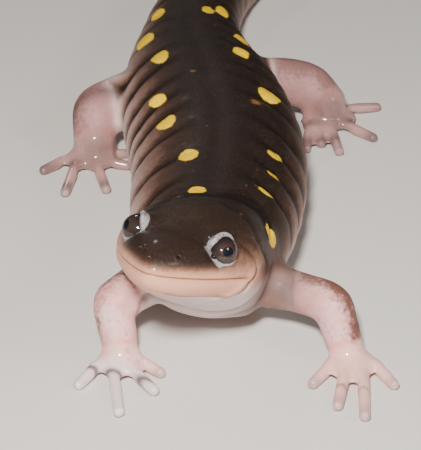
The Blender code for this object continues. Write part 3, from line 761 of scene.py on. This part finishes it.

# %% Painted shade in folds, pits and along the head's rear edge, and where the throat is pale
# Painted shade: the rib grooves, the mouth's line, the collar, nape and throat folds, a line along the
# head's rear edge, the nostrils' pits and the skin inside the lids are all darkened
fold_shades = np.maximum.reduce([0.85 * ribs * ramp(150, 90, along), 0.85 * mouth_line,
                           0.75 * bump(collar_gap, 0, 0.45) * ramp(*COLLAR_REACH, level_angle),
                           1.2 * bump(nape_gap, 0.6, 1.2) * on_nape,
                           0.5 * bump(gular_gap, 0, 0.5) * ramp(*GULAR_REACH, level_angle) * on_body,
                           1.2 * ramp(1.0, 0.35, line_distance(NAPE_SHADOW_LINE, points, 1)),
                           1.2 * nostril_pit, lid_inside])
# Painted shade: a band just behind the jaw's crease, on the throat that the jaw hides, and a thinner
# one along the lower jaw's edge
jaw_crease_shade = bump(jaw_gap, 0.2, 0.4) * low_head
for side in SIDES.values():
    jaw_crease_shade = np.maximum(jaw_crease_shade, 0.5 * ramp(0.5, 0.1, line_distance(JAW_EDGE_SHADE_LINE, points, side)))
throat = ramp(0.2, 1.2, jaw_gap) * ramp(-4, -24, level_angle) * on_body * ramp(34, 27, along)
jaw_edge_up = np.interp(along, (0, 2.5, 5, 11, 12), (-2.0, -2.3, -2.6, -2.6, -2.2))
throat = np.maximum(throat, ramp(0.0, -0.45, up - jaw_edge_up) * ramp(14, 12.5, along))
print("points deep in a fold:", int((fold_shades > 0.5).sum()))

# %% Store the fields on the skin
fields = {"pale": pale, "head": head, "cheek": np.clip(cheek, 0, 1), "jaw": jaw, "throat": throat,
          "chest_shade": chest_shade, "rosy": on_limb, "limb_back": limb_back, "hind": hind, "paw": paw,
          "wrist": 4 * paw * (1 - paw), "tip": ramp(0.7, 1.0, tip_share), "lid": lid_zone,
          "fold": np.clip(fold_shades, 0, 1.2), "jaw_crease_shade": jaw_crease_shade, "spot": spot_field(SPOTS),
          "faint_spot": spot_field(FAINT_SPOTS)}
for name, values in fields.items():
    stored = skin.data.attributes.new(name, "FLOAT", "POINT")
    stored.data.foreach_set("value", np.asarray(values, np.float32))
print("fields:", ", ".join(fields))

# %% Close the skin: triangles only, smooth shaded
net = bmesh.new()
net.from_mesh(skin.data)
bmesh.ops.triangulate(net, faces=net.faces)
net.to_mesh(skin.data)
net.free()
skin.data.shade_smooth()
print("skin triangles:", len(skin.data.polygons))

# %% [markdown]
# ## Shared shading effects
#
# Two effects come back in every living surface here: soft mottling, and small raised grains. Each
# is a node group with named inputs, built once and placed with its own values in each material.


# %% Node helpers
def colour(red, green, blue):
    """A colour as the eye names it, 0 to 255, made linear for the shader."""
    return (*(((c / 255 + 0.055) / 1.055) ** 2.4 if c > 10 else c / 255 / 12.92
              for c in (red, green, blue)), 1)


def new_group(name, inputs, outputs):
    """A group with float sockets: inputs with their first values, and outputs."""
    group = bpy.data.node_groups.new(name, "ShaderNodeTree")
    for label, value in inputs.items():
        socket = group.interface.new_socket(name=label, in_out="INPUT", socket_type="NodeSocketFloat")
        socket.default_value = value
    for label in outputs:
        group.interface.new_socket(name=label, in_out="OUTPUT", socket_type="NodeSocketFloat")
    return group, group.nodes.new("NodeGroupInput"), group.nodes.new("NodeGroupOutput")


class Nodes:
    """Shorthand for adding and linking nodes in one tree."""

    def __init__(self, tree):
        self.tree = tree

    def add(self, kind, inputs=None, **settings):
        """A new node; each input is linked to another node's output or set to a value."""
        node = self.tree.nodes.new(kind)
        for key, value in settings.items():
            setattr(node, key, value)
        for key, value in (inputs or {}).items():
            self.feed(node.inputs[key], value)
        return node

    def feed(self, socket, value):
        if isinstance(value, bpy.types.NodeSocket):
            self.tree.links.new(value, socket)
        else:
            socket.default_value = value

    def math(self, operation, first, second, clamp=False):
        return self.add("ShaderNodeMath", {0: first, 1: second}, operation=operation,
                        use_clamp=clamp).outputs[0]

    def plus(self, first, second, clamp=False):
        return self.math("ADD", first, second, clamp)

    def times(self, first, second, clamp=False):
        return self.math("MULTIPLY", first, second, clamp)

    def soft_step(self, value, low, high):
        """0 at low, 1 at high, smooth between."""
        node = self.add("ShaderNodeMapRange", {"Value": value, "From Min": low, "From Max": high},
                        interpolation_type="SMOOTHSTEP")
        return node.outputs["Result"]

    def mix(self, share, first, second):
        return self.add("ShaderNodeMix", {0: share, 6: first, 7: second}, data_type="RGBA").outputs[2]

    def field(self, name):
        """One of the numbers stored on the points."""
        return self.add("ShaderNodeAttribute", attribute_name=name).outputs["Fac"]

    def layers(self, base, *layers):
        """Lay colours over a base, each by a stored field and a strength."""
        for name, strength, shade in layers:
            base = self.mix(self.times(self.field(name), strength), base, colour(*shade))
        return base

    def bands(self, value, *stops):
        """A colour ramp from (place, colour) stops."""
        node = self.add("ShaderNodeValToRGB", {"Fac": value})
        first, last = node.color_ramp.elements
        first.position, first.color = stops[0][0], colour(*stops[0][1])
        last.position, last.color = stops[-1][0], colour(*stops[-1][1])
        for place, shade in stops[1:-1]:
            node.color_ramp.elements.new(place).color = colour(*shade)
        return node.outputs["Color"]

    def group(self, tree, **inputs):
        """Place a node group with its own values."""
        return self.add("ShaderNodeGroup", inputs, node_tree=tree).outputs


print("a middle grey is", round(colour(128, 128, 128)[0], 3), "when linear")

# %% The two groups
mottle, start, end = new_group("mottle", {"Scale": 400.0, "Detail": 4.0}, ("Centred",))
inner = Nodes(mottle)
where = inner.add("ShaderNodeTexCoord").outputs["Object"]
cloud = inner.add("ShaderNodeTexNoise", {"Vector": where, "Scale": start.outputs["Scale"],
                                         "Detail": start.outputs["Detail"], "Roughness": 0.6})
inner.feed(end.inputs["Centred"], inner.math("SUBTRACT", cloud.outputs["Fac"], 0.5))

GRAIN_TOP, RING_REACH = 0.05, 1.7   # where a grain is highest, and its ring's width beside it
grains, start, end = new_group("grains", {"Scale": 2500.0, "Size": 0.3}, ("Grain", "Ring"))
inner = Nodes(grains)
where = inner.add("ShaderNodeTexCoord").outputs["Object"]
cells = inner.add("ShaderNodeTexVoronoi", {"Vector": where, "Scale": start.outputs["Scale"]})
to_middle, size = cells.outputs["Distance"], start.outputs["Size"]
dot = inner.soft_step(to_middle, size, GRAIN_TOP)
disc = inner.soft_step(to_middle, inner.times(size, RING_REACH), size)
inner.feed(end.inputs["Grain"], dot)
inner.feed(end.inputs["Ring"], inner.math("SUBTRACT", disc, dot, clamp=True))
print("groups:", [group.name for group in bpy.data.node_groups])

# %% [markdown]
# ## The skin's material
#
# Salamander skin is thin, wet and a little see-through: pale parts glow from inside, dark parts
# don't. So the surface is a Principled shader with some subsurface light, a thin clear coat for the
# film of slime, thickest on the paws, and a bump of fine grains under it. Colour is mixed in
# layers: first the back and its pale parts, with painted shade in the rib grooves and on the left
# flank, then the rosy limbs, the throat, the painted shade on the chest, the grains and specks with
# painted glints, the painted shade in the folds and along the jaw, the lids, and the yellow spots
# on top.

# %% Noise shared by all the layers
skin_paint = bpy.data.materials.new("wet_skin")
skin_paint.use_nodes = True
nodes = Nodes(skin_paint.node_tree)
shader = skin_paint.node_tree.nodes["Principled BSDF"]
broad = nodes.group(mottle, Scale=260.0, Detail=3.0)["Centred"]
fine = nodes.group(mottle, Scale=1700.0, Detail=5.0)["Centred"]
print("materials:", [material.name for material in bpy.data.materials])

# %% Trunk and head
BODY_BANDS = ((0.0, (35, 25, 20)), (0.22, (66, 47, 38)), (0.5, (120, 92, 80)),
              (0.78, (166, 138, 129)), (1.0, (212, 186, 180)))
HEAD_BANDS = ((0.0, (42, 30, 23)), (0.25, (72, 51, 40)), (0.5, (122, 87, 70)),
              (0.75, (180, 133, 111)), (1.0, (212, 151, 122)))
blotchy = nodes.plus(nodes.field("pale"), nodes.times(broad, 0.22))
blotchy = nodes.plus(blotchy, nodes.times(fine, 0.35), clamp=True)
base = nodes.mix(nodes.field("head"), nodes.bands(blotchy, *BODY_BANDS),
                 nodes.bands(blotchy, *HEAD_BANDS))
print("nodes for trunk and head:", len(skin_paint.node_tree.nodes))

# %% Limbs: rosy, with brown pigment outside, pinker wrists and darker hind legs
LIMB_BANDS = ((0.2, (204, 144, 138)), (0.55, (228, 174, 170)), (0.9, (236, 200, 203)))
LIMB_LAYERS = (("wrist", 0.7, (222, 130, 116)), ("paw", 0.6, (236, 191, 177)),
               ("tip", 0.55, (150, 136, 138)))
PIGMENT, PIGMENT_SHARE = (104, 66, 54), 0.95
HIND_LAYER = ("hind", 0.7, (146, 110, 106))
limb_tone = nodes.plus(nodes.times(broad, 1.4), 0.5, clamp=True)
limb_colour = nodes.layers(nodes.bands(limb_tone, *LIMB_BANDS), *LIMB_LAYERS)
smudge = nodes.plus(nodes.times(broad, 1.1), nodes.times(fine, 0.9))
smudge = nodes.plus(smudge, nodes.times(nodes.field("limb_back"), 0.6))
smudge = nodes.times(nodes.soft_step(smudge, 0.05, 0.58), PIGMENT_SHARE)
limb_colour = nodes.layers(nodes.mix(smudge, limb_colour, colour(*PIGMENT)), HIND_LAYER)
rosy = nodes.soft_step(nodes.plus(nodes.field("rosy"), nodes.times(fine, 0.25)), 0.25, 0.85)
base = nodes.mix(rosy, base, limb_colour)
print("nodes with the limbs:", len(skin_paint.node_tree.nodes))

# %% Jaw, throat, the chest's painted shade, pale grains in dark rings, and specks with painted glints
base = nodes.layers(base, ("jaw", 0.6, (212, 160, 137)), ("throat", 0.8, (222, 208, 210)),
                    ("chest_shade", 0.95, (112, 80, 68)))
PORE_SHARE, PALE_GRAIN, DARK_RING = 0.6, (196, 176, 160), (48, 34, 28)
pores = nodes.group(grains, Scale=1900.0, Size=0.14)
on_cheek = nodes.times(nodes.field("cheek"), PORE_SHARE)
base = nodes.mix(nodes.times(pores["Grain"], on_cheek), base, colour(*PALE_GRAIN))
base = nodes.mix(nodes.times(pores["Ring"], on_cheek), base, colour(*DARK_RING))
# Pale specks all over, most on the head: partly the skin's own pale glands, partly painted wet glints
PALE_SPECK_AND_GLINT = (170, 150, 132)
specks_and_glints = nodes.group(grains, Scale=520.0, Size=0.09)["Grain"]
speck_and_glint_share = nodes.times(specks_and_glints, nodes.soft_step(broad, -0.05, 0.1))
speck_and_glint_share = nodes.times(speck_and_glint_share, nodes.plus(nodes.times(nodes.field("head"), 0.4), 0.3))
base = nodes.mix(speck_and_glint_share, base, colour(*PALE_SPECK_AND_GLINT))
print("nodes with the grains:", len(skin_paint.node_tree.nodes))

# %% Painted shade in the folds and along the jaw, then the lids
FOLD_SHADE_COLOUR, FOLD_SHADE_SHARE, FOLD_SHADE_STRENGTH = (14, 9, 8), 0.8, 0.78
LID_GREY, LID_BROWN = (156, 153, 154), (112, 92, 82)
# Painted shade laid dark in every fold, groove and pit, by its stored share
in_fold_shade = nodes.times(nodes.field("fold"), FOLD_SHADE_STRENGTH, clamp=True)
base = nodes.mix(in_fold_shade, base, nodes.mix(FOLD_SHADE_SHARE, base, colour(*FOLD_SHADE_COLOUR)))
# Painted shade in brown along the jaw's crease and the lower jaw's edge
base = nodes.layers(base, ("jaw_crease_shade", 0.85, (62, 36, 28)))
on_lid = nodes.soft_step(nodes.plus(nodes.field("lid"), nodes.times(fine, 0.5)), 0.2, 0.8)
lid_colour = nodes.mix(nodes.soft_step(fine, 0.0, 0.16), colour(*LID_GREY), colour(*LID_BROWN))
base = nodes.mix(on_lid, base, lid_colour)
print("nodes with folds and lids:", len(skin_paint.node_tree.nodes))

# %% Yellow spots with a ragged edge
SPOT_EDGE = 0.14                    # millimetres over which a spot's edge fades
SPOT_BANDS = ((0.2, (230, 176, 0)), (0.8, (255, 214, 0)))
FAINT, FAINT_SHARE = (150, 104, 60), 0.6
faint = nodes.plus(nodes.field("faint_spot"), nodes.times(fine, 0.8))
faint = nodes.times(nodes.soft_step(faint, -0.2, 0.4), FAINT_SHARE)
base = nodes.mix(faint, base, colour(*FAINT))
spot = nodes.plus(nodes.field("spot"), nodes.times(fine, 0.5))
spot = nodes.soft_step(spot, -SPOT_EDGE, SPOT_EDGE)
spot_tone = nodes.plus(nodes.times(fine, 1.2), 0.5, clamp=True)
base = nodes.mix(spot, base, nodes.bands(spot_tone, *SPOT_BANDS))
nodes.feed(shader.inputs["Base Color"], base)
print("nodes with the spots:", len(skin_paint.node_tree.nodes))

# %% Bump, gloss and glow
speckle = nodes.group(grains, Scale=2600.0, Size=0.42)["Grain"]
height = nodes.plus(nodes.times(speckle, 0.6), nodes.times(fine, 1.2))
relief = nodes.add("ShaderNodeBump", {"Height": height, "Strength": 0.5, "Distance": 0.1 * MM})
wet = nodes.plus(nodes.times(nodes.field("paw"), 0.75), nodes.times(nodes.field("head"), 0.12))
for socket, value in {"Normal": relief.outputs["Normal"],
                      "Roughness": nodes.plus(nodes.times(fine, 0.3), 0.52),
                      "Specular IOR Level": 0.18,
                      "Coat Weight": nodes.plus(wet, 0.04, clamp=True),
                      "Coat Roughness": 0.12,
                      "Subsurface Weight": 0.22,
                      "Subsurface Radius": (1.0, 0.45, 0.3),
                      "Subsurface Scale": 0.7 * MM}.items():
    nodes.feed(shader.inputs[socket], value)
skin.data.materials.clear()
skin.data.materials.append(skin_paint)
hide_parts(*FLESH)
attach(skin, "root")
print("skin material nodes:", len(skin_paint.node_tree.nodes))

# %% [markdown]
# ## Eyes
#
# Each eye is a ball whose clear front stands out a little, turned so that its pole is the middle
# of the pupil: rings of points then run round the pupil, and one number per ring, its angle from
# the pupil, is all that the iris needs. A clear coat gives the wet glint.

# %% Build the eyeballs
BALL_RADIUS = 2.08
CORNEA, CORNEA_FROM, CORNEA_FULL = 0.12, 58, 20             # mm, and degrees from the pupil
RINGS, SPOKES = 48, 64

for side, sign in SIDES.items():
    ball = bmesh.new()
    bmesh.ops.create_uvsphere(ball, u_segments=SPOKES, v_segments=RINGS, radius=BALL_RADIUS * MM)
    for vert in ball.verts:
        from_pole = math.degrees(Vector(vert.co).angle(Vector((0, 0, 1))))
        bulge = CORNEA * float(ramp(CORNEA_FROM, CORNEA_FULL, from_pole))
        vert.co *= (BALL_RADIUS + bulge) / BALL_RADIUS
    look = Vector(eye_look(sign))
    turn = look.to_track_quat("Z", "Y").to_matrix().to_4x4()
    place = Matrix.Translation(Vector(eyes[side]) * MM)
    bmesh.ops.transform(ball, matrix=place @ turn, verts=ball.verts)
    mesh = bpy.data.meshes.new(f"eyeball_{side}")
    ball.to_mesh(mesh)
    ball.free()
    mesh.shade_smooth()
    eyeball = bpy.data.objects.new(f"eyeball_{side}", mesh)
    bpy.context.scene.collection.objects.link(eyeball)
    away = read_points(mesh) - eyes[side]
    away /= np.linalg.norm(away, axis=1)[:, None]
    gaze = np.degrees(np.arccos(np.clip(away @ np.array(look), -1, 1)))
    stored = mesh.attributes.new("gaze", "FLOAT", "POINT")
    stored.data.foreach_set("value", gaze.astype(np.float32))
    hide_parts(f"eye_{side}")
    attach(eyeball, "root")
    print(eyeball.name, len(mesh.polygons), "faces")

# %% Paint the eyes
PUPIL_TILT, PUPIL_BLUR = 18.0, 0.8  # degrees
IRIS_BANDS = ((0.2, (62, 42, 32)), (0.27, (53, 37, 31)), (0.42, (42, 31, 28)),
              (0.56, (32, 24, 23)), (0.7, (14, 10, 11)))
FLECK, PUPIL = (30, 20, 18), (8, 10, 20)
eye_paint = bpy.data.materials.new("wet_eye")
eye_paint.use_nodes = True
nodes = Nodes(eye_paint.node_tree)
shader = eye_paint.node_tree.nodes["Principled BSDF"]
fine = nodes.group(mottle, Scale=2600.0, Detail=6.0)["Centred"]
wavy = nodes.plus(nodes.field("gaze"), nodes.times(fine, 2.5))
iris = nodes.bands(nodes.times(wavy, 1 / 90), *IRIS_BANDS)  # 1 is a quarter turn from the pupil
flecks = nodes.times(nodes.plus(nodes.times(fine, 2.2), 0.5, clamp=True), 0.4)
iris = nodes.mix(flecks, iris, nodes.mix(0.55, iris, colour(*FLECK)))
in_pupil = nodes.soft_step(wavy, PUPIL_TILT + PUPIL_BLUR, PUPIL_TILT - PUPIL_BLUR)
for socket, value in {"Base Color": nodes.mix(in_pupil, iris, colour(*PUPIL)),
                      "Roughness": 0.6,
                      "Specular IOR Level": 0.1,
                      "Coat Weight": 1.0,
                      "Coat Roughness": 0.03}.items():
    nodes.feed(shader.inputs[socket], value)
for side in SIDES:
    bpy.data.objects[f"eyeball_{side}"].data.materials.append(eye_paint)
print("eye material nodes:", len(eye_paint.node_tree.nodes))

# %% [markdown]
# ## Floor, light and camera
#
# A plain pale floor in plain soft light. The key light is small and stands close above the camera,
# so the face is the brightest part and the light falls away along the back, as it does from a lamp
# held beside the lens. A broader, weaker fill on the animal's left softens the shadows, and a faint
# light behind draws a thin shine along the back.

# %% Floor and world
FLOOR_HALF = 1.5                    # metres
floor_net = bmesh.new()
bmesh.ops.create_grid(floor_net, x_segments=1, y_segments=1, size=FLOOR_HALF)
floor_mesh = bpy.data.meshes.new("floor")
floor_net.to_mesh(floor_mesh)
floor_net.free()
floor = bpy.data.objects.new("floor", floor_mesh)
bpy.context.scene.collection.objects.link(floor)
floor_paint = bpy.data.materials.new("pale_floor")
floor_paint.use_nodes = True
floor_shader = floor_paint.node_tree.nodes["Principled BSDF"]
floor_shader.inputs["Base Color"].default_value = colour(214, 209, 202)
floor_shader.inputs["Roughness"].default_value = 0.75
floor.data.materials.append(floor_paint)

world = bpy.data.worlds.new("studio")
world.use_nodes = True
sky = world.node_tree.nodes["Background"].inputs
sky["Color"].default_value = colour(226, 230, 236)
sky["Strength"].default_value = 0.085
bpy.context.scene.world = world
print("floor half width in metres:", FLOOR_HALF)


# %% Lights
def soft_light(name, place, aim, size, power, tint):
    lamp = bpy.data.lights.new(name, "AREA")
    lamp.shape = "DISK"
    lamp.size = size
    lamp.energy = power
    lamp.color = tint
    holder = bpy.data.objects.new(name, lamp)
    holder.location = place
    holder.rotation_euler = (Vector(aim) - Vector(place)).to_track_quat("-Z", "Y").to_euler()
    bpy.context.scene.collection.objects.link(holder)
    print(name, "light:", power, "W,", size, "m across")


head_place = ruler.at(PUPILS_AT) * MM
soft_light("key", (-0.03, -0.29, 0.22), head_place, 0.035, 2.35, (1.0, 0.97, 0.94))
soft_light("fill", (0.45, -0.35, 0.42), (0, 0, 0.01), 0.16, 0.8, (0.96, 0.97, 1.0))
soft_light("back", (-0.1, 0.52, 0.38), (0, -0.06, 0.005), 0.06, 0.3, (1.0, 0.98, 0.96))

# %% Camera
CAMERA_FROM_PUPIL = (-2.07, -258.3, 152.91)     # millimetres
CAMERA_TILT, CAMERA_LENS = 60.0, 199.2
pupil_place = ruler.at(PUPILS_AT, PUPIL_OUT, PUPIL_UP)
lens = bpy.data.cameras.new("view")
lens.lens = CAMERA_LENS
lens.clip_start = 0.02
camera = bpy.data.objects.new("view", lens)
camera.location = (pupil_place + np.array(CAMERA_FROM_PUPIL)) * MM
camera.rotation_euler = (math.radians(CAMERA_TILT), 0, 0)
bpy.context.scene.collection.objects.link(camera)
bpy.context.scene.camera = camera
print("camera at", [round(value, 4) for value in camera.location])
